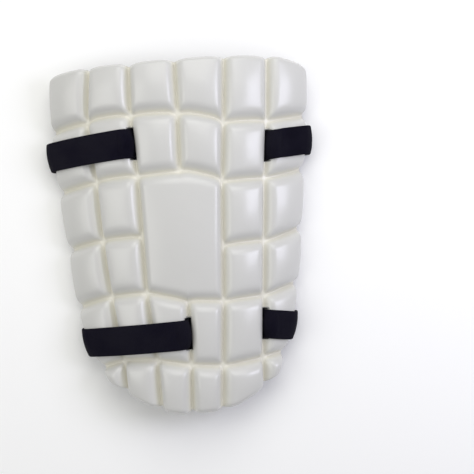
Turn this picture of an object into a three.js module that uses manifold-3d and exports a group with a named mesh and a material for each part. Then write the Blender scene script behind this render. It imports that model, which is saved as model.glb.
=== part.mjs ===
// A batter's thigh guard: a curved moulded shell of quilted pads, its soft lining and two elastic straps.
// Millimetres. The guard lies on its straps: +Z out of the quilted front, +Y to the waist end, +X right.
import * as THREE from "three";
import * as BufferGeometryUtils from "three/addons/utils/BufferGeometryUtils.js";
import Module from "manifold-3d";

const wasm = await Module();
wasm.setup();

// Outline and curve of the shell
const guardHeight = 380; // from the lowest groove end to the highest
const halfGirth = 155; // middle line to the widest edge, measured round the curve
const waistRadius = 240; // curve round the thigh at the waist end
const kneeRadius = 170; // the same at the knee end
const kneeDrop = 15; // how far the middle line falls back towards the knee end
const lobeDepth = 5; // how far the edge pads swell out between two grooves

// Pads and grooves
const webThickness = 6; // foam under the groove floors
const padRise = 9.5; // a pad's shoulder above the groove floor
const padDome = 3; // a pad's middle above its shoulder
const grooveHalfWidth = 1.2;
const uprightRoll = 8.5; // width of the rounded pad edge along an upright groove
const crossRoll = 11; // the same along a cross groove
const rimRoll = 5; // the same along the shell's outline
const cornerPower = 4; // how square a pad's corners are in plan; 2 is round
const padSlope = 0.7; // how slanted a pad's side is; 0.5 is a quarter circle
const rimChamfer = 1.5; // softened back edge of the shell

// Lining
const liningThickness = 3.5;
const liningInset = 1; // from the notches of the shell's edge
const liningPull = 3; // further inset behind the middle of each lobe
const cornerPull = 0.6; // how much of the inset the four corners take
const seatGap = 0.3; // between pieces that touch

// Straps
const strapWidth = 32;
const strapThickness = 2;
const strapLift = 0.5; // over the pads, and under the shell's lowest edge
const strapBend = 8; // length taken by the bend out of a slot
const slotSlant = 4.5; // how far before its slot a strap starts down
const wrapBend = 9; // length taken by each bend round an edge
const wrapGap = 1.5; // between the shell's edge and the strap that goes round it
const strapStep = 14; // between sections along the front
const seamInset = 26; // from each turn to the seam of webbing and elastic on the back
const slotWidth = 7;
const slotShift = 1; // slot's middle from its groove's, on the strap's side
const slotSlack = 3; // slot length over the strap's width
const footLift = 0.6; // strap end above the shell's back face

// One row per cross groove from the waist end down. The columns are its two ends and its crossings with the
// five upright grooves, from the left: height as a share of guardHeight, offset as a share of halfGirth.
const crossGrooves = [
  {
    height: [0.979, 0.99, 0.99, 0.995, 1, 1, 0.972],
    offset: [-0.95, -0.619, -0.317, 0.005, 0.352, 0.667, 0.975],
  },
  {
    height: [0.824, 0.842, 0.848, 0.847, 0.819, 0.822, 0.841],
    offset: [-0.968, -0.657, -0.324, 0.006, 0.323, 0.644, 0.961],
  },
  {
    height: [0.648, 0.67, 0.678, 0.686, 0.653, 0.659, 0.684],
    offset: [-0.934, -0.614, -0.297, 0, 0.293, 0.607, 0.916],
  },
  {
    height: [0.478, 0.5, 0.506, 0.49, 0.469, 0.478, 0.512],
    offset: [-0.881, -0.59, -0.286, 0.005, 0.276, 0.58, 0.873],
  },
  {
    height: [0.309, 0.337, 0.345, 0.316, 0.31, 0.319, 0.35],
    offset: [-0.837, -0.548, -0.279, 0.009, 0.259, 0.557, 0.825],
  },
  {
    height: [0.134, 0.151, 0.151, 0.134, 0.126, 0.14, 0.15],
    offset: [-0.654, -0.481, -0.232, 0.01, 0.231, 0.53, 0.688],
  },
  {
    height: [0.092, 0.07, 0.02, 0.006, 0.008, 0.069, 0.09],
    offset: [-0.562, -0.452, -0.213, 0, 0.211, 0.52, 0.604],
  },
];

// How far each inner cross groove arches towards the waist end between two crossings
const arches = [
  [1.8, 4.5, 3.7, 4.8, 1.8, 0],
  [0.9, 2.7, 1, 4, 0.5, -0.7],
  [1.5, 1.8, 0, 0, 1.4, -1.5],
  [1, 0.8, 1.3, 1.4, 0.5, -0.5],
  [0, 0.8, 0, 0, -0.8, 0],
];

// How far each edge pad swells out, as a share of lobeDepth: along the waist and knee ends from the left,
// and down both sides from the waist end.
const lobes = {
  waist: [1.2, 1, 0.9, 0.8, 0.8, 1.4],
  knee: [0.6, 1.4, 1.5, 1.1, 1.6, 0.7],
  left: [0.3, 0.4, 0.6, 0.6, 1, 0.5],
  right: [0.5, 0.6, 0.7, 0.8, 1, 0.6],
};

// The joined panel in the middle of the quilt, in cells from the waist end and from the left
const panel = { firstRow: 2, lastRow: 3, firstColumn: 2, lastColumn: 3 };

// Each strap's two sides: the slot lies in an upright groove below a cross groove, at a share of the way
// down the cell. The turn is where the strap goes round the edge, at a share of guardHeight, and the lean
// is how far the strap slants there.
const straps = [
  {
    name: "upper",
    left: { groove: 2, row: 1, down: 0.44, turn: 0.753, lean: -0.15 },
    right: { groove: 5, row: 1, down: 0.43, turn: 0.768, lean: 0.05 },
  },
  {
    name: "lower",
    left: { groove: 3, row: 4, down: 0.51, turn: 0.205, lean: -0.26 },
    right: { groove: 5, row: 4, down: 0.46, turn: 0.224, lean: 0.28 },
  },
];

const columns = crossGrooves[0].height.length - 1;
const rows = crossGrooves.length - 1;
const cellSteps = 8; // sections across a pad
const halfCell = cellSteps / 2;
const bendSteps = 5; // sections in a strap's bend

// A point over the groove floors, by its offset round the curve, its height up the guard and its rise
function onGuard(offset, height, rise) {
  const share = height / guardHeight;
  const radius = kneeRadius + (waistRadius - kneeRadius) * share;
  const angle = offset / radius;
  const middle = -kneeDrop * (1 - share);
  const x = (radius + rise) * Math.sin(angle);
  const z = middle - radius + (radius + rise) * Math.cos(angle);
  return new THREE.Vector3(x, height, z);
}

// A groove crossing as (offset round the curve, height)
function crossing(row, column) {
  const groove = crossGrooves[row];
  return new THREE.Vector2(groove.offset[column] * halfGirth, groove.height[column] * guardHeight);
}

// A point between two crossings, swollen outwards by a flat-topped lobe
function edgePoint(from, to, share, swell) {
  const point = from.clone().lerp(to, share);
  const along = to.clone().sub(from).normalize();
  const flatTop = 1 - (2 * share - 1) ** 4;
  return point.add(new THREE.Vector2(along.y, -along.x).multiplyScalar(swell * flatTop));
}

// The four corners, four side lengths and four outward swells of a cell: lobes outside, arches inside
function cellFrame(row, column) {
  const frame = {
    topLeft: crossing(row, column),
    topRight: crossing(row, column + 1),
    lowLeft: crossing(row + 1, column),
    lowRight: crossing(row + 1, column + 1),
  };
  frame.width = [frame.topLeft.distanceTo(frame.topRight), frame.lowLeft.distanceTo(frame.lowRight)];
  frame.drop = [frame.topLeft.distanceTo(frame.lowLeft), frame.topRight.distanceTo(frame.lowRight)];
  frame.swell = {
    top: row === 0 ? lobes.waist[column] * lobeDepth : arches[row - 1][column],
    low: row === rows - 1 ? lobes.knee[column] * lobeDepth : -arches[row][column],
    left: column === 0 ? lobes.left[row] * lobeDepth : 0,
    right: column === columns - 1 ? lobes.right[row] * lobeDepth : 0,
  };
  return frame;
}

// A point of the cell at shares u to the right and v down, between its four edges
function cellPoint(frame, u, v) {
  const { topLeft, topRight, lowLeft, lowRight, swell } = frame;
  const top = edgePoint(topLeft, topRight, u, -swell.top);
  const low = edgePoint(lowLeft, lowRight, u, swell.low);
  const left = edgePoint(topLeft, lowLeft, v, swell.left);
  const right = edgePoint(topRight, lowRight, v, -swell.right);
  const upper = topLeft.clone().lerp(topRight, u);
  const lower = lowLeft.clone().lerp(lowRight, u);
  const flat = upper.lerp(lower, v);
  return top.lerp(low, v).add(left.lerp(right, u)).sub(flat);
}

// Shares of a side at which the sections lie: the groove floor's edge, up the shoulder, then the middle
function sectionShares(length) {
  const flank = grooveHalfWidth + 0.25 * uprightRoll;
  const shoulder = grooveHalfWidth + 0.95 * uprightRoll;
  const near = [0, grooveHalfWidth, flank, shoulder];
  const tightest = 3 * near[near.length - 1];
  const squeeze = Math.min(1, length / tightest) / length;
  const first = near.map((distance) => distance * squeeze);
  const second = first.map((share) => 1 - share).reverse();
  return [...first, 0.5, ...second];
}

function inPanel(row, column) {
  const inRows = row >= panel.firstRow && row <= panel.lastRow;
  const inColumns = column >= panel.firstColumn && column <= panel.lastColumn;
  return inRows && inColumns;
}

// How far up a pad's side a point is, from 0 at a groove floor or the outline to 1 on top
function climbFrom(distance, roll, isJoined, isOuter) {
  if (isJoined) return 1;
  return isOuter ? distance / rimRoll : (distance - grooveHalfWidth) / roll;
}

// The same between the two sides of a pad, given as [before, after]
function climbOf(share, length, roll, joined, outer) {
  const before = climbFrom(share * length, roll, joined[0], outer[0]);
  const after = climbFrom((1 - share) * length, roll, joined[1], outer[1]);
  return THREE.MathUtils.clamp(Math.min(before, after), 0, 1);
}

// The pad's rise over the groove floor: a rounded shoulder and a slight dome
function padHeight(frame, row, column, u, v) {
  const joined = inPanel(row, column);
  const joins = {
    left: joined && column > panel.firstColumn,
    right: joined && column < panel.lastColumn,
    top: joined && row > panel.firstRow,
    low: joined && row < panel.lastRow,
  };
  const width = THREE.MathUtils.lerp(frame.width[0], frame.width[1], v);
  const drop = THREE.MathUtils.lerp(frame.drop[0], frame.drop[1], u);
  const outerColumns = [column === 0, column === columns - 1];
  const outerRows = [row === 0, row === rows - 1];
  const across = climbOf(u, width, uprightRoll, [joins.left, joins.right], outerColumns);
  const down = climbOf(v, drop, crossRoll, [joins.top, joins.low], outerRows);
  const corner = ((1 - across) ** cornerPower + (1 - down) ** cornerPower) ** (1 / cornerPower);
  const shoulder = padRise * (1 - Math.min(corner, 1) ** 2) ** padSlope;
  const panelColumns = panel.lastColumn - panel.firstColumn + 1;
  const panelRows = panel.lastRow - panel.firstRow + 1;
  const domeU = joined ? (column - panel.firstColumn + u) / panelColumns : u;
  const domeV = joined ? (row - panel.firstRow + v) / panelRows : v;
  const dome = padDome * Math.sin(Math.PI * domeU) * Math.sin(Math.PI * domeV);
  return shoulder + dome;
}

// The quilt's sections as a grid of (offset, height, rise)
function quiltGrid() {
  const grid = [];
  for (let down = 0; down <= rows * cellSteps; down += 1) {
    const row = Math.min(rows - 1, Math.floor(down / cellSteps));
    const stepDown = down - row * cellSteps;
    const line = [];
    for (let over = 0; over <= columns * cellSteps; over += 1) {
      const column = Math.min(columns - 1, Math.floor(over / cellSteps));
      const stepOver = over - column * cellSteps;
      const frame = cellFrame(row, column);
      const nearWidth = THREE.MathUtils.lerp(frame.width[0], frame.width[1], stepDown / cellSteps);
      const u = sectionShares(nearWidth)[stepOver];
      const nearDrop = THREE.MathUtils.lerp(frame.drop[0], frame.drop[1], u);
      const v = sectionShares(nearDrop)[stepDown];
      const place = cellPoint(frame, u, v);
      line.push({ offset: place.x, height: place.y, rise: padHeight(frame, row, column, u, v) });
    }
    grid.push(line);
  }
  return grid;
}

const geometryFrom = (points, triangles) => {
  const geometry = new THREE.BufferGeometry();
  const coordinates = points.flatMap((point) => point.toArray());
  geometry.setAttribute("position", new THREE.Float32BufferAttribute(coordinates, 3));
  geometry.setIndex(triangles.flat());
  return geometry;
};

// The grid's border as [down, over] pairs, anticlockwise seen from the front, in steps of the given stride
function borderOf(stride) {
  const low = rows * cellSteps;
  const far = columns * cellSteps;
  const border = [];
  for (let down = 0; down < low; down += stride) border.push([down, 0]);
  for (let over = 0; over < far; over += stride) border.push([low, over]);
  for (let down = low; down > 0; down -= stride) border.push([down, far]);
  for (let over = far; over > 0; over -= stride) border.push([0, over]);
  return border;
}

// Two triangles of a quad given anticlockwise
const quad = (a, b, c, d) => [
  [a, b, c],
  [a, c, d],
];

function shellGeometry() {
  const grid = quiltGrid();
  const points = [];
  const triangles = [];
  const front = grid.map((line) => line.map((p) => points.push(onGuard(p.offset, p.height, p.rise)) - 1));
  for (let down = 0; down < rows * cellSteps; down += 1) {
    for (let over = 0; over < columns * cellSteps; over += 1) {
      const [a, b] = [front[down][over], front[down + 1][over]];
      const [c, d] = [front[down + 1][over + 1], front[down][over + 1]];
      const leansBack = (down % cellSteps < halfCell) === (over % cellSteps < halfCell);
      triangles.push(...(leansBack ? quad(b, c, d, a) : quad(a, b, c, d)));
    }
  }

  // Smooth back face on every fourth section
  const back = new Map();
  for (let down = 0; down <= rows * cellSteps; down += halfCell) {
    for (let over = 0; over <= columns * cellSteps; over += halfCell) {
      const { offset, height } = grid[down][over];
      back.set(`${down} ${over}`, points.push(onGuard(offset, height, -webThickness)) - 1);
    }
  }
  const backAt = (down, over) => back.get(`${down} ${over}`);
  for (let down = 0; down < rows * cellSteps; down += halfCell) {
    for (let over = 0; over < columns * cellSteps; over += halfCell) {
      const near = [backAt(down, over), backAt(down, over + halfCell)];
      const far = [backAt(down + halfCell, over + halfCell), backAt(down + halfCell, over)];
      triangles.push(...quad(near[0], near[1], far[0], far[1]));
    }
  }

  // Edge wall down to a softened back edge
  const border = borderOf(1);
  const rim = border.map(([down, over]) => {
    const { offset, height } = grid[down][over];
    return points.push(onGuard(offset, height, rimChamfer - webThickness)) - 1;
  });
  const coarse = borderOf(halfCell).map(([down, over]) => backAt(down, over));
  for (let step = 0; step < border.length; step += 1) {
    const next = (step + 1) % border.length;
    const [upper, upperNext] = [border[step], border[next]].map(([down, over]) => front[down][over]);
    triangles.push(...quad(upper, rim[step], rim[next], upperNext));
    const span = Math.floor(step / halfCell);
    const pastMiddle = step % halfCell >= halfCell / 2;
    const foot = coarse[(span + (pastMiddle ? 1 : 0)) % coarse.length];
    triangles.push([rim[step], foot, rim[next]]);
    if (step % halfCell === halfCell / 2) {
      triangles.push([rim[step], coarse[span], coarse[(span + 1) % coarse.length]]);
    }
  }
  return geometryFrom(points, triangles);
}

// One face of the lining at a rise: every fourth section of the quilt, its edge drawn in from the shell's
function liningFace(rise) {
  const grid = quiltGrid();
  const low = rows * cellSteps;
  const far = columns * cellSteps;
  const at = (down, over) => {
    const { offset, height } = grid[down][over];
    return onGuard(offset, height, rise);
  };
  const face = [];
  for (let down = 0; down <= low; down += halfCell) {
    const line = [];
    for (let over = 0; over <= far; over += halfCell) {
      const point = at(down, over);
      const innerDown = THREE.MathUtils.clamp(down, halfCell, low - halfCell);
      const innerOver = THREE.MathUtils.clamp(over, halfCell, far - halfCell);
      const onLobe = (down + over) % cellSteps === halfCell;
      const pull = liningInset + (onLobe ? liningPull : 0);
      const inner = at(innerDown, innerOver).sub(point);
      const corner = down !== innerDown && over !== innerOver ? cornerPull : 1;
      line.push(inner.lengthSq() > 0 ? point.add(inner.setLength(pull * corner)) : point);
    }
    face.push(line);
  }
  return face;
}

const liningBack = webThickness + seatGap + liningThickness;

function liningGeometry() {
  const points = [];
  const triangles = [];
  const addFace = (rise) => liningFace(rise).map((line) => line.map((point) => points.push(point) - 1));
  const front = addFace(-webThickness - seatGap);
  const back = addFace(-liningBack);
  for (let down = 0; down < front.length - 1; down += 1) {
    for (let over = 0; over < front[0].length - 1; over += 1) {
      const [a, b] = [front[down][over], front[down][over + 1]];
      const [c, d] = [front[down + 1][over + 1], front[down + 1][over]];
      const [e, f] = [back[down][over], back[down][over + 1]];
      const [g, h] = [back[down + 1][over + 1], back[down + 1][over]];
      triangles.push([a, c, b], [a, d, c], ...quad(e, f, g, h));
    }
  }
  const border = borderOf(halfCell).map(([down, over]) => [down / halfCell, over / halfCell]);
  border.forEach(([down, over], step) => {
    const [nextDown, nextOver] = border[(step + 1) % border.length];
    const [a, b] = [front[down][over], back[down][over]];
    const [c, d] = [back[nextDown][nextOver], front[nextDown][nextOver]];
    triangles.push(...quad(a, b, c, d));
  });
  return geometryFrom(points, triangles);
}

// Outermost reach of the shell's edge at a height, on the left (-1) or the right (1)
function edgeReach(height, side) {
  const column = side < 0 ? 0 : columns;
  let row = 0;
  while (row < rows - 1 && crossing(row + 1, column).y > height) row += 1;
  const top = crossing(row, column);
  const low = crossing(row + 1, column);
  const share = THREE.MathUtils.clamp((top.y - height) / (top.y - low.y), 0, 1);
  const offset = Math.abs(THREE.MathUtils.lerp(top.x, low.x, share)) + lobeDepth;
  return Math.abs(onGuard(offset, height, padRise / 2).x);
}

// Lowest point of the shell and lining at their edges, under which the straps run
function lowestEdge() {
  const grid = quiltGrid();
  const shellEdge = borderOf(1).map(([down, over]) => {
    const { offset, height } = grid[down][over];
    return onGuard(offset, height, -webThickness).z;
  });
  const liningPoints = liningFace(-liningBack).flatMap((line) => line.map((point) => point.z));
  return Math.min(...shellEdge, ...liningPoints);
}

const frontRise = padRise + padDome + strapLift + strapThickness / 2;
const backLevel = lowestEdge() - strapLift - strapThickness / 2;

// The groove point where a strap's slot is cut, and the groove's lean there
function slotPlace(side) {
  const top = crossing(side.row, side.groove);
  const low = crossing(side.row + 1, side.groove);
  const middle = top.clone().lerp(low, side.down);
  return { offset: middle.x, height: middle.y, lean: (top.x - low.x) / (top.y - low.y) };
}

// A strap section over the guard: its middle and the direction across the strap
function sectionOver(offset, height, rise, lean, bend) {
  const reach = strapWidth / 2;
  const above = onGuard(offset + lean * reach, height + reach, rise);
  const below = onGuard(offset - lean * reach, height - reach, rise);
  return { at: onGuard(offset, height, rise), across: above.sub(below).normalize(), bend };
}

// Sections from a slot over the pads and round the edge; sign is -1 on the left and 1 on the right
function strapSide(side, sign) {
  const slot = slotPlace(side);
  const turnHeight = side.turn * guardHeight;
  const reaches = [-0.5, 0, 0.5].map((share) => {
    const away = share * strapWidth;
    return edgeReach(turnHeight + away, sign) - sign * side.lean * away;
  });
  const turnX = Math.max(...reaches) + wrapGap + strapThickness / 2;
  const share = turnHeight / guardHeight;
  const radius = kneeRadius + (waistRadius - kneeRadius) * share;
  const turnOffset = sign * radius * Math.asin(turnX / (radius + frontRise));
  const run = turnOffset - slot.offset;
  const slope = (turnHeight - slot.height) / run;
  const slotTop = slot.height + slope * sign * slotSlant;
  const sections = [
    sectionOver(slot.offset, slot.height, footLift - webThickness, slot.lean, 0),
    sectionOver(slot.offset + sign * slotSlant, slotTop, frontRise, slot.lean, strapBend),
  ];
  const untwist = (Math.abs(slot.lean + slope) * strapWidth) / 2;
  const flatStart = slotSlant + strapBend * 1.1 + untwist;
  const flatRun = Math.abs(run) - flatStart - wrapBend * 1.1;
  const steps = Math.ceil(flatRun / strapStep);
  for (let step = 0; step <= steps; step += 1) {
    const travelled = flatStart + (flatRun * step) / steps;
    const offset = slot.offset + sign * travelled;
    const lean = THREE.MathUtils.lerp(-slope, side.lean, (step / steps) ** 3);
    sections.push(sectionOver(offset, slot.height + slope * sign * travelled, frontRise, lean, 0));
  }
  sections.push(sectionOver(turnOffset, turnHeight, frontRise, side.lean, wrapBend));
  const foot = new THREE.Vector3(sign * turnX, turnHeight, backLevel);
  sections.push({ at: foot, across: new THREE.Vector3(side.lean, 1, 0).normalize(), bend: wrapBend });
  return sections;
}

// Each section with a bend is replaced by a smooth turn between its neighbours
function roundBends(sections) {
  return sections.flatMap((section, index) => {
    if (!section.bend) return [section];
    const turn = [];
    const [before, after] = [sections[index - 1], sections[index + 1]];
    const start = section.at.clone().add(before.at.clone().sub(section.at).setLength(section.bend));
    const end = section.at.clone().add(after.at.clone().sub(section.at).setLength(section.bend));
    const curve = new THREE.QuadraticBezierCurve3(start, section.at, end);
    for (let step = 0; step <= bendSteps; step += 1) {
      const share = step / bendSteps;
      turn.push({ at: curve.getPoint(share), across: section.across, along: curve.getTangent(share) });
    }
    return turn;
  });
}

// A flat band through the sections, as wide as the strap
function bandGeometry(sections) {
  const points = [];
  const triangles = [];
  const rings = sections.map((section, index) => {
    const before = sections[Math.max(0, index - 1)].at;
    const after = sections[Math.min(sections.length - 1, index + 1)].at;
    const along = section.along ?? after.clone().sub(before).normalize();
    const { across } = section;
    const normal = along.clone().cross(across).normalize();
    const corners = [[1, 1], [-1, 1], [-1, -1], [1, -1]];
    return corners.map(([side, face]) => {
      const corner = section.at.clone().addScaledVector(across, (side * strapWidth) / 2);
      return points.push(corner.addScaledVector(normal, (face * strapThickness) / 2)) - 1;
    });
  });
  for (let index = 0; index < rings.length - 1; index += 1) {
    const [ring, nextRing] = [rings[index], rings[index + 1]];
    for (let corner = 0; corner < 4; corner += 1) {
      const next = (corner + 1) % 4;
      triangles.push(...quad(ring[corner], ring[next], nextRing[next], nextRing[corner]));
    }
  }
  const [first, last] = [rings[0], rings[rings.length - 1]];
  triangles.push(...quad(first[3], first[2], first[1], first[0]), ...quad(...last));
  return geometryFrom(points, triangles);
}

// The tab takes the left side up to a seam on the back, the end takes the right side up to another seam,
// and the elastic runs flat between the two
function strapGeometries(strap) {
  const left = strapSide(strap.left, -1);
  const right = strapSide(strap.right, 1);
  const [leftFoot, rightFoot] = [left[left.length - 1].at, right[right.length - 1].at];
  const span = rightFoot.clone().sub(leftFoot);
  const across = new THREE.Vector3(-span.y, span.x, 0).normalize();
  const backSection = (distance) => ({
    at: leftFoot.clone().addScaledVector(span, distance / span.length()),
    across,
  });
  const backStart = 2 * wrapBend;
  const [webbingEnd, elasticEnd] = [seamInset - seatGap / 2, seamInset + seatGap / 2];
  const tab = [...left, backSection(backStart), backSection(webbingEnd)];
  const end = [...right, backSection(span.length() - backStart), backSection(span.length() - webbingEnd)];
  const elastic = [backSection(elasticEnd), backSection(span.length() - elasticEnd)];
  return {
    tab: bandGeometry(roundBends(tab)),
    end: bandGeometry(roundBends(end)),
    elastic: bandGeometry(elastic),
  };
}

// A block through the web at a strap's slot, square to the guard and turned along its groove
function slotGeometry(side, sign) {
  const slot = slotPlace(side);
  const offset = slot.offset + sign * slotShift;
  const depth = 2 * (webThickness + padRise + padDome);
  const middle = onGuard(offset, slot.height, 0);
  const outward = onGuard(offset, slot.height, 1).sub(middle);
  const { across } = sectionOver(offset, slot.height, 0, slot.lean, 0);
  const sideways = across.clone().cross(outward).normalize();
  const along = outward.clone().cross(sideways);
  const placed = new THREE.Matrix4().makeBasis(sideways, along, outward).setPosition(middle);
  return new THREE.BoxGeometry(slotWidth, strapWidth + slotSlack, depth).applyMatrix4(placed);
}

function solidOf(geometry) {
  const bare = geometry.clone();
  bare.deleteAttribute("normal");
  bare.deleteAttribute("uv");
  const merged = BufferGeometryUtils.mergeVertices(bare);
  return new wasm.Manifold(
    new wasm.Mesh({
      numProp: 3,
      vertProperties: new Float32Array(merged.attributes.position.array),
      triVerts: new Uint32Array(merged.index.array),
    }),
  );
}

function geometryOf(solid) {
  const mesh = solid.getMesh();
  const geometry = new THREE.BufferGeometry();
  geometry.setAttribute("position", new THREE.BufferAttribute(new Float32Array(mesh.vertProperties), 3));
  geometry.setIndex(new THREE.BufferAttribute(new Uint32Array(mesh.triVerts), 1));
  return geometry;
}

const materials = {
  foam: new THREE.MeshStandardMaterial({ color: 0xe3e3df, roughness: 0.35, metalness: 0 }),
  felt: new THREE.MeshStandardMaterial({ color: 0x2a2a2c, roughness: 0.95, metalness: 0 }),
  elastic: new THREE.MeshStandardMaterial({ color: 0x0b0b0e, roughness: 0.85, metalness: 0 }),
  webbing: new THREE.MeshStandardMaterial({ color: 0x15131f, roughness: 0.8, metalness: 0 }),
};

const guard = new THREE.Group();

function addPiece(name, geometry, material) {
  geometry.computeVertexNormals();
  const mesh = new THREE.Mesh(geometry, material);
  mesh.name = name;
  guard.add(mesh);
}

let shell = solidOf(shellGeometry());
for (const strap of straps) {
  shell = shell.subtract(solidOf(slotGeometry(strap.left, -1)));
  shell = shell.subtract(solidOf(slotGeometry(strap.right, 1)));
}
addPiece("shell", geometryOf(shell), materials.foam);
addPiece("lining", liningGeometry(), materials.felt);
for (const strap of straps) {
  const { tab, end, elastic } = strapGeometries(strap);
  addPiece(`${strap.name}_strap`, elastic, materials.elastic);
  addPiece(`${strap.name}_tab`, tab, materials.webbing);
  addPiece(`${strap.name}_end`, end, materials.webbing);
}

// The origin is the middle of the underside
const extent = new THREE.Box3().setFromObject(guard);
const middle = extent.getCenter(new THREE.Vector3());
guard.position.set(-middle.x, -middle.y, -extent.min.z);
guard.updateMatrixWorld(true);

export default guard;
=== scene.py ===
import math

import bmesh
import bpy
import numpy as np
from mathutils import Matrix, Vector


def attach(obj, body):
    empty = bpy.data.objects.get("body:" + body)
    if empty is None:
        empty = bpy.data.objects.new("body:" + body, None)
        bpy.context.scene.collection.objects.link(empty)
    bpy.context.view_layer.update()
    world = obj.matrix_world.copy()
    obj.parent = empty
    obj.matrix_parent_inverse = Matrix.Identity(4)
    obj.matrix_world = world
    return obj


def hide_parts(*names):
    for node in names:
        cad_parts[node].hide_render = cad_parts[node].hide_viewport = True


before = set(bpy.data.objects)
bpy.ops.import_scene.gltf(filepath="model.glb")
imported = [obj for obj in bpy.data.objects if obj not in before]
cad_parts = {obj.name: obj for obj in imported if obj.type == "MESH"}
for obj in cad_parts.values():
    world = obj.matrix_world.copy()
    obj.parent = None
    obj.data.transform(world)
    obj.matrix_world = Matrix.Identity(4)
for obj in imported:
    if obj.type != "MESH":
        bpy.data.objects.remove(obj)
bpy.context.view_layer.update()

guard = {
    "height": 380,  # lowest groove end to highest
    "halfGirth": 155,  # middle line to the widest edge, round the curve
    "waistRadius": 240,
    "kneeRadius": 170,
    "kneeDrop": 15,  # how far the middle line falls towards the knee end
    "web": 6,  # foam under the groove floors
    "seat": (1.681, -190.321, 62.197),  # where the drawing's origin stands in the frame
}


def onGuard(offset, height, rise):
    # points over the groove floors, by offset round the curve, height and rise; works on arrays too
    share = np.asarray(height) / guard["height"]
    radius = guard["kneeRadius"] + (guard["waistRadius"] - guard["kneeRadius"]) * share
    angle = np.asarray(offset) / radius
    middle = -guard["kneeDrop"] * (1 - share)
    x = (radius + rise) * np.sin(angle)
    z = middle - radius + (radius + rise) * np.cos(angle)
    y = np.broadcast_to(np.asarray(height, dtype=float), np.shape(x))
    return (np.stack([x, y, z], axis=-1) + np.array(guard["seat"])) / 1000


# Camera

view = {
    "focal": 70.6,  # mm
    "sensor": 36,  # mm
    "distance": 1000,  # mm over the groove floors' crest
    "besideGuard": 58.3,  # mm to the right of the guard's middle line
    "aboveKnee": 187,  # mm up the guard
    "roll": -3.06,  # degrees
}


def makeCamera():
    camera = bpy.data.objects.new("camera", bpy.data.cameras.new("camera"))
    bpy.context.scene.collection.objects.link(camera)
    camera.data.lens = view["focal"]
    camera.data.sensor_width = view["sensor"]
    seatX, seatY, seatZ = guard["seat"]
    camera.location = (
        (seatX + view["besideGuard"]) / 1000,
        (seatY + view["aboveKnee"]) / 1000,
        (seatZ + view["distance"]) / 1000,
    )
    camera.rotation_euler = (0, 0, math.radians(view["roll"]))
    bpy.context.scene.camera = camera


makeCamera()
print("camera set")

# The quilt's plan: one row per cross groove from the waist end, with its crossings from the left

crossGrooves = [
    {
        "height": [0.979, 0.99, 0.99, 0.995, 1, 1, 0.972],
        "offset": [-0.95, -0.619, -0.317, 0.005, 0.352, 0.667, 0.975],
    },
    {
        "height": [0.824, 0.842, 0.848, 0.847, 0.819, 0.822, 0.841],
        "offset": [-0.968, -0.657, -0.324, 0.006, 0.323, 0.644, 0.961],
    },
    {
        "height": [0.648, 0.67, 0.678, 0.686, 0.653, 0.659, 0.684],
        "offset": [-0.934, -0.614, -0.297, 0, 0.293, 0.607, 0.916],
    },
    {
        "height": [0.478, 0.5, 0.506, 0.49, 0.469, 0.478, 0.512],
        "offset": [-0.881, -0.59, -0.286, 0.005, 0.276, 0.58, 0.873],
    },
    {
        "height": [0.309, 0.337, 0.345, 0.316, 0.31, 0.319, 0.35],
        "offset": [-0.837, -0.548, -0.279, 0.009, 0.259, 0.557, 0.825],
    },
    {
        "height": [0.134, 0.151, 0.151, 0.134, 0.126, 0.14, 0.15],
        "offset": [-0.654, -0.481, -0.232, 0.01, 0.231, 0.53, 0.688],
    },
    {
        "height": [0.092, 0.07, 0.02, 0.006, 0.008, 0.069, 0.09],
        "offset": [-0.562, -0.452, -0.213, 0, 0.211, 0.52, 0.604],
    },
]

# how far each inner cross groove arches towards the waist between two crossings, mm
archOf = [
    [1.8, 4.5, 3.7, 4.8, 1.8, 0],
    [0.9, 2.7, 1, 4, 0.5, -0.7],
    [1.5, 1.8, 0, 0, 1.4, -1.5],
    [1, 0.8, 1.3, 1.4, 0.5, -0.5],
    [0, 0.8, 0, 0, -0.8, 0],
]

rowCount = len(crossGrooves) - 1
columnCount = len(crossGrooves[0]["height"]) - 1


def crossing(row, column):
    # offset and height of a groove crossing, in millimetres
    groove = crossGrooves[row]
    offset = groove["offset"][column] * guard["halfGirth"]
    height = groove["height"][column] * guard["height"]
    return np.array([offset, height])


pads = {
    "rise": 9.5,  # shoulder above the groove floor
    "dome": 3,
    "grooveHalf": 1.2,
    "uprightRoll": 8.5,  # how far in from an upright groove a pad's side rolls over
    "crossRoll": 11,  # the same from a cross groove
    "rimRoll": 5,  # the same from the outline
    "cornerPower": 4,  # how square the pads' corners are; 2 is round
    "grooveLightReach": 6,  # how far up a pad's side the painted bounce light of the groove reaches
    "slope": 0.7,  # how steeply a pad's side leaves its groove; 0.5 is a round side
    "steps": 28,  # sections across a pad
    "evenShare": 0.45,  # how evenly the sections lie; 1 is even, 0 crowds them beside the grooves
    "softenings": 2,  # passes that even out the pads' sharp lines
    "lobe": 5,  # the outline's swell beside a pad, times the lobes below
    "waistLobes": [1.2, 1, 0.9, 0.8, 0.8, 1.4],
    "kneeLobes": [0.6, 1.4, 1.5, 1.1, 1.6, 0.7],
    "leftLobes": [0.3, 0.4, 0.6, 0.6, 1, 0.5],
    "rightLobes": [0.5, 0.6, 0.7, 0.8, 1, 0.6],
    "panelRows": (2, 3),
    "panelColumns": (2, 3),
    "edgeRound": 1.4,  # radius of the back edge
    "backGrooveLight": 0.1,  # how much of the painted groove light the back gets
}


def lobedEdge(start, end, share, swell):
    # a side of a cell, swollen outwards with a flat top
    along = (end - start) / np.linalg.norm(end - start)
    outward = np.array([along[1], -along[0]])
    flatTop = 1 - (2 * share - 1) ** 4
    return start + (end - start) * share[..., None] + outward * (swell * flatTop)[..., None]


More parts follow.
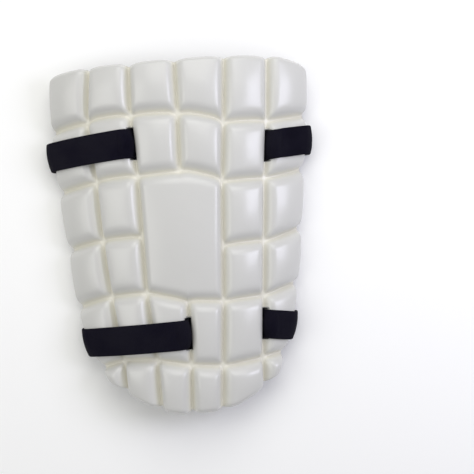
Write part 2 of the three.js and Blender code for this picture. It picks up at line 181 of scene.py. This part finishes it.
def cellEdges(row, column, u, v):
    # the four sides of a cell: a groove, arched towards the waist, or the swollen edge of the shell
    topLeft, topRight = crossing(row, column), crossing(row, column + 1)
    lowLeft, lowRight = crossing(row + 1, column), crossing(row + 1, column + 1)
    lobe = pads["lobe"]
    topSwell = lobe * pads["waistLobes"][column] if row == 0 else archOf[row - 1][column]
    lowSwell = lobe * pads["kneeLobes"][column] if row == rowCount - 1 else -archOf[row][column]
    leftSwell = lobe * pads["leftLobes"][row] if column == 0 else 0
    rightSwell = lobe * pads["rightLobes"][row] if column == columnCount - 1 else 0
    return (
        lobedEdge(topLeft, topRight, u, -topSwell),
        lobedEdge(lowLeft, lowRight, u, lowSwell),
        lobedEdge(topLeft, lowLeft, v, leftSwell),
        lobedEdge(topRight, lowRight, v, -rightSwell),
    )


def climbFrom(distance, roll, isJoined, isOuter):
    # how far up a pad's side, from 0 at a groove floor or the outline to 1 on top
    if isJoined:
        return np.ones_like(distance)
    return distance / pads["rimRoll"] if isOuter else (distance - pads["grooveHalf"]) / roll


def climbOf(share, length, roll, joined, outer):
    before = climbFrom(share * length, roll, joined[0], outer[0])
    after = climbFrom((1 - share) * length, roll, joined[1], outer[1])
    return np.clip(np.minimum(before, after), 0, 1)


def grooveClear(share, length, noGroove):
    # distance to the nearest groove floor across a cell
    before = np.inf if noGroove[0] else share * length - pads["grooveHalf"]
    after = np.inf if noGroove[1] else (1 - share) * length - pads["grooveHalf"]
    return np.minimum(before, after)


def cellSurface(row, column, shares):
    # offsets, heights and rises over one cell's grid of sections
    topLeft, topRight = crossing(row, column), crossing(row, column + 1)
    lowLeft, lowRight = crossing(row + 1, column), crossing(row + 1, column + 1)
    v, u = np.meshgrid(shares, shares, indexing="ij")
    top, low, left, right = cellEdges(row, column, u, v)
    upper = topLeft + (topRight - topLeft) * u[..., None]
    lower = lowLeft + (lowRight - lowLeft) * u[..., None]
    flat = upper + (lower - upper) * v[..., None]
    place = top + (low - top) * v[..., None] + left + (right - left) * u[..., None] - flat

    (firstRow, lastRow), (firstColumn, lastColumn) = pads["panelRows"], pads["panelColumns"]
    inPanel = firstRow <= row <= lastRow and firstColumn <= column <= lastColumn
    joinedAcross = (inPanel and column > firstColumn, inPanel and column < lastColumn)
    joinedAlong = (inPanel and row > firstRow, inPanel and row < lastRow)
    outerAcross = (column == 0, column == columnCount - 1)
    outerAlong = (row == 0, row == rowCount - 1)
    width = np.linalg.norm(topRight - topLeft) * (1 - v) + np.linalg.norm(lowRight - lowLeft) * v
    drop = np.linalg.norm(lowLeft - topLeft) * (1 - u) + np.linalg.norm(lowRight - topRight) * u
    across = climbOf(u, width, pads["uprightRoll"], joinedAcross, outerAcross)
    along = climbOf(v, drop, pads["crossRoll"], joinedAlong, outerAlong)
    power = pads["cornerPower"]
    corner = np.minimum(((1 - across) ** power + (1 - along) ** power) ** (1 / power), 1)
    shoulder = pads["rise"] * (1 - corner**2) ** pads["slope"]
    clearAcross = grooveClear(u, width, np.logical_or(joinedAcross, outerAcross))
    clearAlong = grooveClear(v, drop, np.logical_or(joinedAlong, outerAlong))
    # painted bounce light: 1 on the groove floors, fading to 0 up the pads' sides
    paintedGrooveLight = 1 - np.clip(np.minimum(clearAcross, clearAlong) / pads["grooveLightReach"], 0, 1)
    domeU = (column - firstColumn + u) / (lastColumn - firstColumn + 1) if inPanel else u
    domeV = (row - firstRow + v) / (lastRow - firstRow + 1) if inPanel else v
    dome = pads["dome"] * np.sin(np.pi * domeU) * np.sin(np.pi * domeV)
    return place[..., 0], place[..., 1], shoulder + dome, paintedGrooveLight


def quiltGrid():
    # the whole quilt's sections, closer together beside the grooves
    steps = pads["steps"]
    even = np.linspace(0, 1, steps + 1)
    crowded = 0.5 - 0.5 * np.cos(np.pi * even)
    shares = pads["evenShare"] * even + (1 - pads["evenShare"]) * crowded
    size = (rowCount * steps + 1, columnCount * steps + 1)
    offset, height, rise, paintedGrooveLight = [np.zeros(size) for _ in range(4)]
    for row in range(rowCount):
        for column in range(columnCount):
            down = slice(row * steps, (row + 1) * steps + 1)
            over = slice(column * steps, (column + 1) * steps + 1)
            cell = cellSurface(row, column, shares)
            offset[down, over], height[down, over], rise[down, over], paintedGrooveLight[down, over] = cell
    return offset, height, rise, paintedGrooveLight


def softened(rise, passes):
    # evens out the sharp lines of the groove floors and shoulders, leaving the outer edge
    for _ in range(passes):
        around = rise[:-2, 1:-1] + rise[2:, 1:-1] + rise[1:-1, :-2] + rise[1:-1, 2:]
        rise = rise.copy()
        rise[1:-1, 1:-1] = 0.5 * rise[1:-1, 1:-1] + 0.125 * around
    return rise


def ringOf(lastRow, lastColumn):
    # the border of a grid, anticlockwise seen from the front
    down = [(row, 0) for row in range(lastRow)]
    along = [(lastRow, column) for column in range(lastColumn)]
    up = [(row, lastColumn) for row in range(lastRow, 0, -1)]
    back = [(0, column) for column in range(lastColumn, 0, -1)]
    return down + along + up + back


def gridFaces(rows, columns, first, flipped):
    faces = []
    for row in range(rows - 1):
        for column in range(columns - 1):
            a = first + row * columns + column
            quad = (a, a + columns, a + columns + 1, a + 1)
            faces.append(quad[::-1] if flipped else quad)
    return faces


def addPiece(name, points, faces, smooth=True):
    mesh = bpy.data.meshes.new(name)
    mesh.from_pydata([tuple(p) for p in points], [], faces)
    mesh.validate()
    mesh.update()
    piece = bpy.data.objects.new(name, mesh)
    bpy.context.scene.collection.objects.link(piece)
    if smooth:
        mesh.polygons.foreach_set("use_smooth", [True] * len(mesh.polygons))
    return piece


def sheetSolid(name, offset, height, front, back, edgeSteps):
    # a closed sheet over the grid: a front face, a back face and a rounded edge between them
    rows, columns = offset.shape
    top = onGuard(offset, height, front).reshape(-1, 3)
    under = onGuard(offset, height, back).reshape(-1, 3)
    points = [*top, *under]
    faces = gridFaces(rows, columns, 0, False) + gridFaces(rows, columns, len(top), True)
    ring = ringOf(rows - 1, columns - 1)
    loops = [[row * columns + column for row, column in ring]]
    inward = 2  # sections in from the edge, towards which it is pulled
    for drop, pull in edgeSteps:
        loop = []
        for row, column in ring:
            inRow = min(max(row, inward), rows - 1 - inward)
            inColumn = min(max(column, inward), columns - 1 - inward)
            edge = np.array([offset[row, column], height[row, column]])
            inner = np.array([offset[inRow, inColumn], height[inRow, inColumn]]) - edge
            edge = edge + inner / np.linalg.norm(inner) * pull
            edgeFront = front[row, column] if np.ndim(front) else front
            points.append(onGuard(edge[0], edge[1], edgeFront - drop))
            loop.append(len(points) - 1)
        loops.append(loop)
    loops.append([len(top) + row * columns + column for row, column in ring])
    for upper, lower in zip(loops, loops[1:]):
        for step in range(len(ring)):
            following = (step + 1) % len(ring)
            faces.append((upper[step], lower[step], lower[following], upper[following]))
    return addPiece(name, points, faces)


def roundedEdge(thickness, radius, steps=4, firstDrop=0.35):
    # drops and pulls of an edge whose lower corner is rounded
    edge = [(firstDrop * (thickness - radius), 0), (thickness - radius, 0)]
    for step in range(1, steps):
        angle = math.pi / 2 * step / steps
        edge.append((thickness - radius + radius * math.sin(angle), radius - radius * math.cos(angle)))
    return edge


# Shell

def makeShell():
    offset, height, rise, paintedGrooveLight = quiltGrid()
    rise = softened(rise, pads["softenings"])
    edge = roundedEdge(guard["web"], pads["edgeRound"])
    shell = sheetSolid("padded_shell", offset, height, rise, -guard["web"], edge)
    # the painted groove light, kept on the points for the foam's colour
    paintedGrooveLight = softened(paintedGrooveLight, pads["softenings"]).reshape(-1)
    attribute = shell.data.attributes.new("paintedGrooveLight", "FLOAT", "POINT")
    values = np.full(len(shell.data.vertices), pads["backGrooveLight"])
    values[: len(paintedGrooveLight)] = paintedGrooveLight
    attribute.data.foreach_set("value", values)
    return shell


shell = makeShell()
print("shell made")

# Straps, in the same sections as the solids but finer

strap = {
    "width": 32,
    "thickness": 2,
    "lift": 0.5,  # over the pads' domes
    "bend": 8,  # length taken by the turn into a slot
    "slotSlant": 4.5,  # how far before its slot a strap starts down
    "wrapBend": 9,  # length taken by each turn round the edge
    "wrapGap": 1.5,
    "bendClear": 1.1,  # bend lengths from a turn to the sections beside it
    "backClear": 2,  # the same on the back, where the strap also untwists
    "step": 3,
    "bendSteps": 14,
    "spanSteps": 60,
    "crown": 0.5,  # how far the webbing bows out across its width on the pads
    "slotBow": 12,  # how many times as far it bows where it turns into a slot
    "neck": [(0.3, 1), (0.54, 9)],  # shares of the way up from a slot's foot, and the bows there
    "wrapBow": 4,  # the same where it turns round the edge
    "seamInset": 26,
    "seamGap": 0.3,
    "footLift": 0.6,
    "backLevel": 1.0,  # middle of the back span over the floor
    "edgeTrim": 0.05,  # how much narrower than the solid a band is on each side
    "edgeRound": 0.7,
    "edgeShare": 0.35,  # share of the thickness left at a band's edges
    "flatPoints": 40,  # least sections across a band
    "ribPoints": 6,  # sections across a rib
    "slotWidth": 7,
    "slotShift": 1,  # slot's middle from its groove's, on the strap's side
    "slotSlack": 3,
}

webbingBand = {"thickness": 1.8, "ribs": 0, "ribHeight": 0}
elasticBand = {"thickness": 1.9, "ribs": 13, "ribHeight": 0.25}

strapPlan = {
    "upper": {
        "left": {"groove": 2, "row": 1, "down": 0.44, "turn": 0.753, "lean": -0.15},
        "right": {"groove": 5, "row": 1, "down": 0.43, "turn": 0.768, "lean": 0.05},
    },
    "lower": {
        "left": {"groove": 3, "row": 4, "down": 0.51, "turn": 0.205, "lean": -0.26},
        "right": {"groove": 5, "row": 4, "down": 0.46, "turn": 0.224, "lean": 0.28},
    },
}

frontRise = pads["rise"] + pads["dome"] + strap["lift"] + strap["thickness"] / 2


def slotPlace(side):
    top, low = crossing(side["row"], side["groove"]), crossing(side["row"] + 1, side["groove"])
    middle = top + (low - top) * side["down"]
    return middle[0], middle[1], (top[0] - low[0]) / (top[1] - low[1])


def sectionOver(offset, height, rise, lean, bend=0, bow=1):
    reach = strap["width"] / 2
    above = onGuard(offset + lean * reach, height + reach, rise)
    below = onGuard(offset - lean * reach, height - reach, rise)
    across = Vector(above - below).normalized()
    return {"at": Vector(onGuard(offset, height, rise)), "across": across, "bend": bend / 1000, "bow": bow}


def edgeReach(height, sign):
    # outermost reach of the shell's edge at a height
    column = 0 if sign < 0 else columnCount
    row = 0
    while row < rowCount - 1 and crossing(row + 1, column)[1] > height:
        row += 1
    top, low = crossing(row, column), crossing(row + 1, column)
    share = min(max((top[1] - height) / (top[1] - low[1]), 0), 1)
    offset = abs(top[0] + (low[0] - top[0]) * share) + pads["lobe"]
    return abs(onGuard(offset, height, pads["rise"] / 2)[0] * 1000 - guard["seat"][0])


def strapSide(side, sign):
    # sections from a slot over the pads and round the edge
    slotOffset, slotHeight, slotLean = slotPlace(side)
    turnHeight = side["turn"] * guard["height"]
    aways = [share * strap["width"] for share in (-0.5, 0, 0.5)]
    reaches = [edgeReach(turnHeight + away, sign) - sign * side["lean"] * away for away in aways]
    turnX = max(reaches) + strap["wrapGap"] + strap["thickness"] / 2
    share = turnHeight / guard["height"]
    radius = guard["kneeRadius"] + (guard["waistRadius"] - guard["kneeRadius"]) * share
    turnOffset = sign * radius * math.asin(turnX / (radius + frontRise))
    run = turnOffset - slotOffset
    slope = (turnHeight - slotHeight) / run
    slant = sign * strap["slotSlant"]
    foot = sectionOver(slotOffset, slotHeight, strap["footLift"] - guard["web"], slotLean, bow=0)
    bendPlace = (slotOffset + slant, slotHeight + slope * slant)
    top = sectionOver(*bendPlace, frontRise, slotLean, strap["bend"], strap["slotBow"])
    sections = [foot]
    for share, bow in strap["neck"]:
        place = foot["at"].lerp(top["at"], share)
        sections.append({"at": place, "across": foot["across"], "bend": 0, "bow": bow})
    sections.append(top)
    # the flat run starts where the strap's corners have untwisted from its slot
    untwist = abs(slotLean + slope) * strap["width"] / 2
    spanStart = strap["slotSlant"] + strap["bend"] * strap["bendClear"] + untwist
    span = abs(run) - spanStart - strap["wrapBend"] * strap["bendClear"]
    steps = math.ceil(span / strap["step"])
    for step in range(steps + 1):
        travelled = spanStart + span * step / steps
        lean = -slope + (side["lean"] + slope) * (step / steps) ** 3
        place = slotOffset + sign * travelled
        sections.append(sectionOver(place, slotHeight + slope * sign * travelled, frontRise, lean))
    wrapBend, wrapBow = strap["wrapBend"], strap["wrapBow"]
    sections.append(sectionOver(turnOffset, turnHeight, frontRise, side["lean"], wrapBend, wrapBow))
    under = Vector(onGuard(0, turnHeight, 0))
    under.x = (sign * turnX + guard["seat"][0]) / 1000
    under.z = strap["backLevel"] / 1000
    across = Vector((side["lean"], 1, 0)).normalized()
    sections.append({"at": under, "across": across, "bend": wrapBend / 1000, "bow": wrapBow})
    return sections


def roundBends(sections):
    # each section with a bend becomes a smooth turn between its neighbours
    rounded = []
    for index, section in enumerate(sections):
        if not section["bend"]:
            rounded.append(section)
            continue
        middle = section["at"]
        start = middle + (sections[index - 1]["at"] - middle).normalized() * section["bend"]
        end = middle + (sections[index + 1]["at"] - middle).normalized() * section["bend"]
        for step in range(strap["bendSteps"] + 1):
            t = step / strap["bendSteps"]
            at = start * (1 - t) ** 2 + middle * 2 * t * (1 - t) + end * t**2
            along = (middle - start) * (1 - t) + (end - middle) * t
            before, after = sections[index - 1]["bow"], sections[index + 1]["bow"]
            bow = before * (1 - t) ** 2 + section["bow"] * 2 * t * (1 - t) + after * t**2
            rounded.append({"at": at, "across": section["across"], "along": along.normalized(), "bow": bow})
    return rounded


def bandProfile(band):
    # (across, out) points round a band, in millimetres; ribs run along it
    thickness, ribs, ribHeight = band["thickness"], band["ribs"], band["ribHeight"]
    edgeShare = strap["edgeShare"]
    half = strap["width"] / 2 - strap["edgeTrim"]
    side = []
    count = max(ribs * strap["ribPoints"], strap["flatPoints"])
    for step in range(count + 1):
        place = -half + 2 * half * step / count
        fromEdge = half - abs(place)
        shoulder = math.sqrt(1 - (1 - min(fromEdge / strap["edgeRound"], 1)) ** 2)
        out = thickness / 2 * (edgeShare + (1 - edgeShare) * shoulder)
        if ribs:
            groove = 0.5 - 0.5 * math.cos(2 * math.pi * ribs * step / count)
            out -= ribHeight * groove * shoulder
        side.append((place, out))
    return side + [(place, -out) for place, out in reversed(side)]


def makeBand(name, sections, profile, crown):
    # the profile carried along the sections, bowed outwards by the crown, with closed ends
    points, faces = [], []
    count = len(profile)
    half = strap["width"] / 2
    for index, section in enumerate(sections):
        before = sections[max(0, index - 1)]["at"]
        after = sections[min(len(sections) - 1, index + 1)]["at"]
        along = section.get("along", (after - before).normalized())
        across = section["across"]
        normal = along.cross(across).normalized()
        bow = crown * section["bow"]
        for place, out in profile:
            lift = out + bow * (1 - (place / half) ** 2)
            points.append(section["at"] + across * place / 1000 + normal * lift / 1000)
    for index in range(len(sections) - 1):
        for corner in range(count):
            following = (corner + 1) % count
            a, b = index * count, (index + 1) * count
            faces.append((a + corner, a + following, b + following, b + corner))
    middle = count // 2
    for ring, flipped in ((0, True), (len(sections) - 1, False)):
        for corner in range(middle - 1):
            a = ring * count
            quad = (a + corner, a + corner + 1, a + count - 2 - corner, a + count - 1 - corner)
            faces.append(quad if flipped else quad[::-1])
    return addPiece(name, points, faces)


def makeStrap(name, plan):
    left, right = strapSide(plan["left"], -1), strapSide(plan["right"], 1)
    span = right[-1]["at"] - left[-1]["at"]
    across = Vector((-span.y, span.x, 0)).normalized()
    reach = span.length * 1000

    def backSection(distance):
        return {"at": left[-1]["at"] + span * (distance / reach), "across": across, "bend": 0, "bow": 0}

    flat = strap["backClear"] * strap["wrapBend"]
    webbingEnd = strap["seamInset"] - strap["seamGap"] / 2
    elasticEnd = strap["seamInset"] + strap["seamGap"] / 2
    tab = [*left, backSection(flat), backSection(webbingEnd)]
    end = [*right, backSection(reach - flat), backSection(reach - webbingEnd)]
    steps = strap["spanSteps"]
    length = reach - 2 * elasticEnd
    elastic = [backSection(elasticEnd + length * step / steps) for step in range(steps + 1)]
    webbing = bandProfile(webbingBand)
    return (
        makeBand(f"woven_{name}_tab", roundBends(tab), webbing, -strap["crown"]),
        makeBand(f"woven_{name}_end", roundBends(end), webbing, strap["crown"]),
        makeBand(f"ribbed_{name}_strap", elastic, bandProfile(elasticBand), 0),
    )


bands = {name: makeStrap(name, plan) for name, plan in strapPlan.items()}
print("straps made")

# Slots

def cutSlots(piece):
    # blocks through the web, square to the guard and turned along their grooves
    cutter = bpy.data.meshes.new("slot_cutter")
    slots = bmesh.new()
    length = strap["width"] + strap["slotSlack"]
    depth = 2 * (guard["web"] + frontRise)
    size = Matrix.Diagonal((strap["slotWidth"] / 1000, length / 1000, depth / 1000, 1))
    for plan in strapPlan.values():
        for sign, side in ((-1, plan["left"]), (1, plan["right"])):
            offset, height, lean = slotPlace(side)
            offset += sign * strap["slotShift"]
            middle = Vector(onGuard(offset, height, 0))
            outward = (Vector(onGuard(offset, height, 1)) - middle).normalized()
            across = sectionOver(offset, height, 0, lean)["across"]
            sideways = across.cross(outward).normalized()
            along = outward.cross(sideways)
            turn = Matrix((sideways, along, outward)).transposed().to_4x4()
            bmesh.ops.create_cube(slots, size=1, matrix=Matrix.Translation(middle) @ turn @ size)
    slots.to_mesh(cutter)
    slots.free()
    cutterPiece = bpy.data.objects.new("slot_cutter", cutter)
    bpy.context.scene.collection.objects.link(cutterPiece)
    cut = piece.modifiers.new("slots", "BOOLEAN")
    cut.object = cutterPiece
    cut.operation = "DIFFERENCE"
    cut.solver = "EXACT"
    depsgraph = bpy.context.evaluated_depsgraph_get()
    finished = bpy.data.meshes.new_from_object(piece.evaluated_get(depsgraph))
    piece.modifiers.clear()
    piece.data = finished
    bpy.data.objects.remove(cutterPiece)


cutSlots(shell)
print("slots cut")

# Lining

lining = {
    "thickness": 3.5,
    "seatGap": 0.3,  # behind the shell's back face
    "inset": 1,  # from the shell's groove ends
    "steps": 110,
    "edgeRound": 1.2,
}


def smoothThrough(knots, count):
    # an even curve through the knots
    knots = np.array(knots)
    padded = np.vstack([2 * knots[0] - knots[1], knots, 2 * knots[-1] - knots[-2]])
    curve = []
    for place in np.linspace(0, len(knots) - 1, count + 1):
        index = min(int(place), len(knots) - 2)
        t = place - index
        p0, p1, p2, p3 = padded[index : index + 4]
        square = 2 * p0 - 5 * p1 + 4 * p2 - p3
        cube = 3 * p1 - p0 - 3 * p2 + p3
        curve.append(0.5 * (2 * p1 + (p2 - p0) * t + square * t**2 + cube * t**3))
    return np.array(curve)


def makeLining():
    # one smooth sheet between four even edges drawn through the groove ends
    inset = lining["inset"]
    left = [crossing(row, 0) + (inset, 0) for row in range(rowCount + 1)]
    right = [crossing(row, columnCount) - (inset, 0) for row in range(rowCount + 1)]
    top = [crossing(0, column) - (0, inset) for column in range(columnCount + 1)]
    low = [crossing(rowCount, column) + (0, inset) for column in range(columnCount + 1)]
    top[0], top[-1], low[0], low[-1] = left[0], right[0], left[-1], right[-1]
    steps = lining["steps"]
    leftEdge, rightEdge = smoothThrough(left, steps), smoothThrough(right, steps)
    topEdge, lowEdge = smoothThrough(top, steps), smoothThrough(low, steps)
    shares = np.linspace(0, 1, steps + 1)
    v, u = [x[..., None] for x in np.meshgrid(shares, shares, indexing="ij")]
    upper = topEdge[0] * (1 - u) + topEdge[-1] * u
    lower = lowEdge[0] * (1 - u) + lowEdge[-1] * u
    place = topEdge[None] * (1 - v) + lowEdge[None] * v
    place = place + leftEdge[:, None] * (1 - u) + rightEdge[:, None] * u
    place = place - (upper * (1 - v) + lower * v)
    front = -guard["web"] - lining["seatGap"]
    back = front - lining["thickness"]
    edge = roundedEdge(lining["thickness"], lining["edgeRound"])
    return sheetSolid("brushed_lining", place[..., 0], place[..., 1], front, back, edge)


liningPiece = makeLining()
print("lining made")

# Materials

def newMaterial(name):
    material = bpy.data.materials.new(name)
    material.use_nodes = True
    nodes = material.node_tree.nodes
    return material, nodes, material.node_tree.links, nodes["Principled BSDF"]


def addNoise(nodes, links, scale, detail, roughness=0.5, stretch=1):
    # even noise, or noise drawn out across the guard
    place = nodes.new("ShaderNodeTexCoord")
    drawn = nodes.new("ShaderNodeMapping")
    drawn.inputs["Scale"].default_value = (1 / stretch, 1, 1)
    noise = nodes.new("ShaderNodeTexNoise")
    noise.inputs["Scale"].default_value = scale
    noise.inputs["Detail"].default_value = detail
    noise.inputs["Roughness"].default_value = roughness
    links.new(place.outputs["Object"], drawn.inputs["Vector"])
    links.new(drawn.outputs["Vector"], noise.inputs["Vector"])
    return noise


def addBump(nodes, links, surface, height, strength, distance, before=None):
    bump = nodes.new("ShaderNodeBump")
    bump.inputs["Strength"].default_value = strength
    bump.inputs["Distance"].default_value = distance
    links.new(height, bump.inputs["Height"])
    if before:
        links.new(before.outputs["Normal"], bump.inputs["Normal"])
    links.new(bump.outputs["Normal"], surface.inputs["Normal"])
    return bump


def ramp(nodes, links, source, stops):
    colours = nodes.new("ShaderNodeValToRGB")
    while len(colours.color_ramp.elements) < len(stops):
        colours.color_ramp.elements.new(0.5)
    for element, (place, colour) in zip(colours.color_ramp.elements, stops):
        element.position = place
        element.color = (*colour, 1)
    links.new(source, colours.inputs["Fac"])
    return colours


pearlFoam = {
    "tones": [  # from the pads' tops down to the groove floors, lighter and creamier downwards: painted bounce light in the grooves
        (0.1, (0.585, 0.582, 0.568)),
        (0.55, (0.64, 0.637, 0.605)),
        (0.95, (0.71, 0.69, 0.61)),
    ],
    "roughness": (0.3, 0.42),
    "clouds": (28, 4),  # scale and detail of the uneven gloss
    "coat": 0.5,
    "coatRoughness": 0.22,
    "waves": (45, 3),
    "waveBump": (0.35, 0.001),  # strength, and depth in metres
    "grain": (1400, 2),
    "grainBump": (0.08, 0.0002),
}


def makePearlFoam():
    material, nodes, links, surface = newMaterial("pearl_foam_skin")
    # the grooves and the pads' sides are painted lighter and creamier as bounce light
    paintedGrooveLight = nodes.new("ShaderNodeAttribute")
    paintedGrooveLight.attribute_name = "paintedGrooveLight"
    tint = ramp(nodes, links, paintedGrooveLight.outputs["Fac"], pearlFoam["tones"])
    links.new(tint.outputs["Color"], surface.inputs["Base Color"])
    cloud = addNoise(nodes, links, *pearlFoam["clouds"])
    spread = nodes.new("ShaderNodeMapRange")
    spread.inputs["To Min"].default_value, spread.inputs["To Max"].default_value = pearlFoam["roughness"]
    links.new(cloud.outputs["Fac"], spread.inputs["Value"])
    links.new(spread.outputs["Result"], surface.inputs["Roughness"])
    surface.inputs["Coat Weight"].default_value = pearlFoam["coat"]
    surface.inputs["Coat Roughness"].default_value = pearlFoam["coatRoughness"]
    swell = addNoise(nodes, links, *pearlFoam["waves"]).outputs["Fac"]
    waves = addBump(nodes, links, surface, swell, *pearlFoam["waveBump"])
    grain = addNoise(nodes, links, *pearlFoam["grain"]).outputs["Fac"]
    addBump(nodes, links, surface, grain, *pearlFoam["grainBump"], waves)
    return material


brushedFelt = {
    "nap": (550, 6, 0.75),  # scale, detail and roughness of the nap
    "tones": [(0.3, (0.012, 0.012, 0.013)), (0.7, (0.045, 0.045, 0.048))],
    "roughness": 0.95,
    "sheen": 0.2,
    "sheenRoughness": 0.5,
    "bump": (0.6, 0.0006),
}


def makeBrushedFelt():
    material, nodes, links, surface = newMaterial("brushed_felt")
    nap = addNoise(nodes, links, *brushedFelt["nap"])
    tint = ramp(nodes, links, nap.outputs["Fac"], brushedFelt["tones"])
    links.new(tint.outputs["Color"], surface.inputs["Base Color"])
    surface.inputs["Roughness"].default_value = brushedFelt["roughness"]
    surface.inputs["Sheen Weight"].default_value = brushedFelt["sheen"]
    surface.inputs["Sheen Roughness"].default_value = brushedFelt["sheenRoughness"]
    addBump(nodes, links, surface, nap.outputs["Fac"], *brushedFelt["bump"])
    return material


woven = {
    "distortion": 0.6,
    "detail": 2,
    "fuzz": (700, 5, 0.8),
    "clouds": (22, 3),
    "cloudFrom": (0.35, 0.65),
    "cloudTo": (0.5, 1.5),  # darkest and lightest cloud, times the weave
    "roughness": 0.85,
    "specular": 0.08,
    "sheen": 0.01,
    "sheenRoughness": 0.4,
    "bump": (0.5, 0.0004),
}

ribbedElastic = {
    "threads": 900,
    "stretch": 14,  # how far its fuzz is drawn out along the ribs
    "tones": [(0.1, (0.001, 0.001, 0.0015)), (0.45, (0.01, 0.01, 0.012))],
}

tabWebbing = {
    "threads": 1100,
    "stretch": 1,
    "tones": [
        (0.1, (0.001, 0.0008, 0.003)),
        (0.22, (0.0048, 0.0036, 0.0145)),
        (0.5, (0.0115, 0.0108, 0.0175)),
    ],
}


def makeWoven(name, weaving):
    # fine crosswise threads with a fuzz over them, a little uneven
    material, nodes, links, surface = newMaterial(name)
    weave = nodes.new("ShaderNodeTexWave")
    place = nodes.new("ShaderNodeTexCoord")
    weave.bands_direction = "X"
    weave.inputs["Scale"].default_value = weaving["threads"]
    weave.inputs["Distortion"].default_value = woven["distortion"]
    weave.inputs["Detail"].default_value = woven["detail"]
    links.new(place.outputs["Object"], weave.inputs["Vector"])
    fuzz = addNoise(nodes, links, *woven["fuzz"], weaving["stretch"])
    both = nodes.new("ShaderNodeMath")
    both.operation = "MULTIPLY"
    links.new(weave.outputs["Fac"], both.inputs[0])
    links.new(fuzz.outputs["Fac"], both.inputs[1])
    cloud = nodes.new("ShaderNodeMapRange")
    cloud.inputs["From Min"].default_value, cloud.inputs["From Max"].default_value = woven["cloudFrom"]
    cloud.inputs["To Min"].default_value, cloud.inputs["To Max"].default_value = woven["cloudTo"]
    links.new(addNoise(nodes, links, *woven["clouds"]).outputs["Fac"], cloud.inputs["Value"])
    uneven = nodes.new("ShaderNodeMath")
    uneven.operation = "MULTIPLY"
    links.new(both.outputs["Value"], uneven.inputs[0])
    links.new(cloud.outputs["Result"], uneven.inputs[1])
    tint = ramp(nodes, links, uneven.outputs["Value"], weaving["tones"])
    links.new(tint.outputs["Color"], surface.inputs["Base Color"])
    surface.inputs["Roughness"].default_value = woven["roughness"]
    surface.inputs["Specular IOR Level"].default_value = woven["specular"]
    surface.inputs["Sheen Weight"].default_value = woven["sheen"]
    surface.inputs["Sheen Roughness"].default_value = woven["sheenRoughness"]
    addBump(nodes, links, surface, both.outputs["Value"], *woven["bump"])
    return material


foam = makePearlFoam()
felt = makeBrushedFelt()
elasticWeave = makeWoven("ribbed_elastic_weave", ribbedElastic)
tabWeave = makeWoven("blue_black_webbing", tabWebbing)


def finishPiece(piece, material, node):
    piece.data.materials.clear()
    piece.data.materials.append(material)
    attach(piece, "root")
    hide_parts(node)


finishPiece(shell, foam, "shell")
finishPiece(liningPiece, felt, "lining")
for name, (tabPiece, endPiece, strapPiece) in bands.items():
    finishPiece(tabPiece, tabWeave, f"{name}_tab")
    finishPiece(endPiece, tabWeave, f"{name}_end")
    finishPiece(strapPiece, elasticWeave, f"{name}_strap")
print("materials set")

# Floor and lights

studio = {
    "floor": (0.95, 0.95, 0.95),
    "floorRoughness": 0.9,
    "floorReach": 4,  # metres from the middle
    "aim": (0, 0, 0.05),  # what the lamps point at
    "world": 0.44,
    "side": {"at": (0.88, 0.14, 0.76), "size": (0.45, 0.5), "power": 4.6, "colour": (0.84, 0.84, 1)},
    "left": {"at": (-0.9, 0.0, 0.9), "size": (0.8, 0.8), "power": 3.6, "colour": (1, 1, 0.95)},
    "overhead": {"at": (0.1, 0.65, 0.85), "size": (0.9, 0.9), "power": 5.2, "colour": (1, 1, 0.95)},
}


def makeFloor():
    reach = studio["floorReach"]
    corners = [(-reach, -reach, 0), (reach, -reach, 0), (reach, reach, 0), (-reach, reach, 0)]
    floor = addPiece("floor", corners, [(0, 1, 2, 3)], smooth=False)
    material, _, _, surface = newMaterial("studio_floor")
    surface.inputs["Base Color"].default_value = (*studio["floor"], 1)
    surface.inputs["Roughness"].default_value = studio["floorRoughness"]
    floor.data.materials.append(material)


def addLight(name, settings):
    data = bpy.data.lights.new(name, "AREA")
    data.shape = "RECTANGLE"
    data.size, data.size_y = settings["size"]
    data.energy = settings["power"]
    data.color = settings["colour"]
    lamp = bpy.data.objects.new(name, data)
    bpy.context.scene.collection.objects.link(lamp)
    lamp.location = settings["at"]
    toGuard = Vector(studio["aim"]) - lamp.location
    lamp.rotation_euler = toGuard.to_track_quat("-Z", "Y").to_euler()


makeFloor()
addLight("side_softbox", studio["side"])
addLight("overhead_softbox", studio["overhead"])
addLight("left_fill", studio["left"])
world = bpy.data.worlds.new("studio")
bpy.context.scene.world = world
world.use_nodes = True
world.node_tree.nodes["Background"].inputs["Color"].default_value = (1, 1, 1, 1)
world.node_tree.nodes["Background"].inputs["Strength"].default_value = studio["world"]
bpy.context.scene.view_settings.view_transform = "Standard"
print("studio lit")
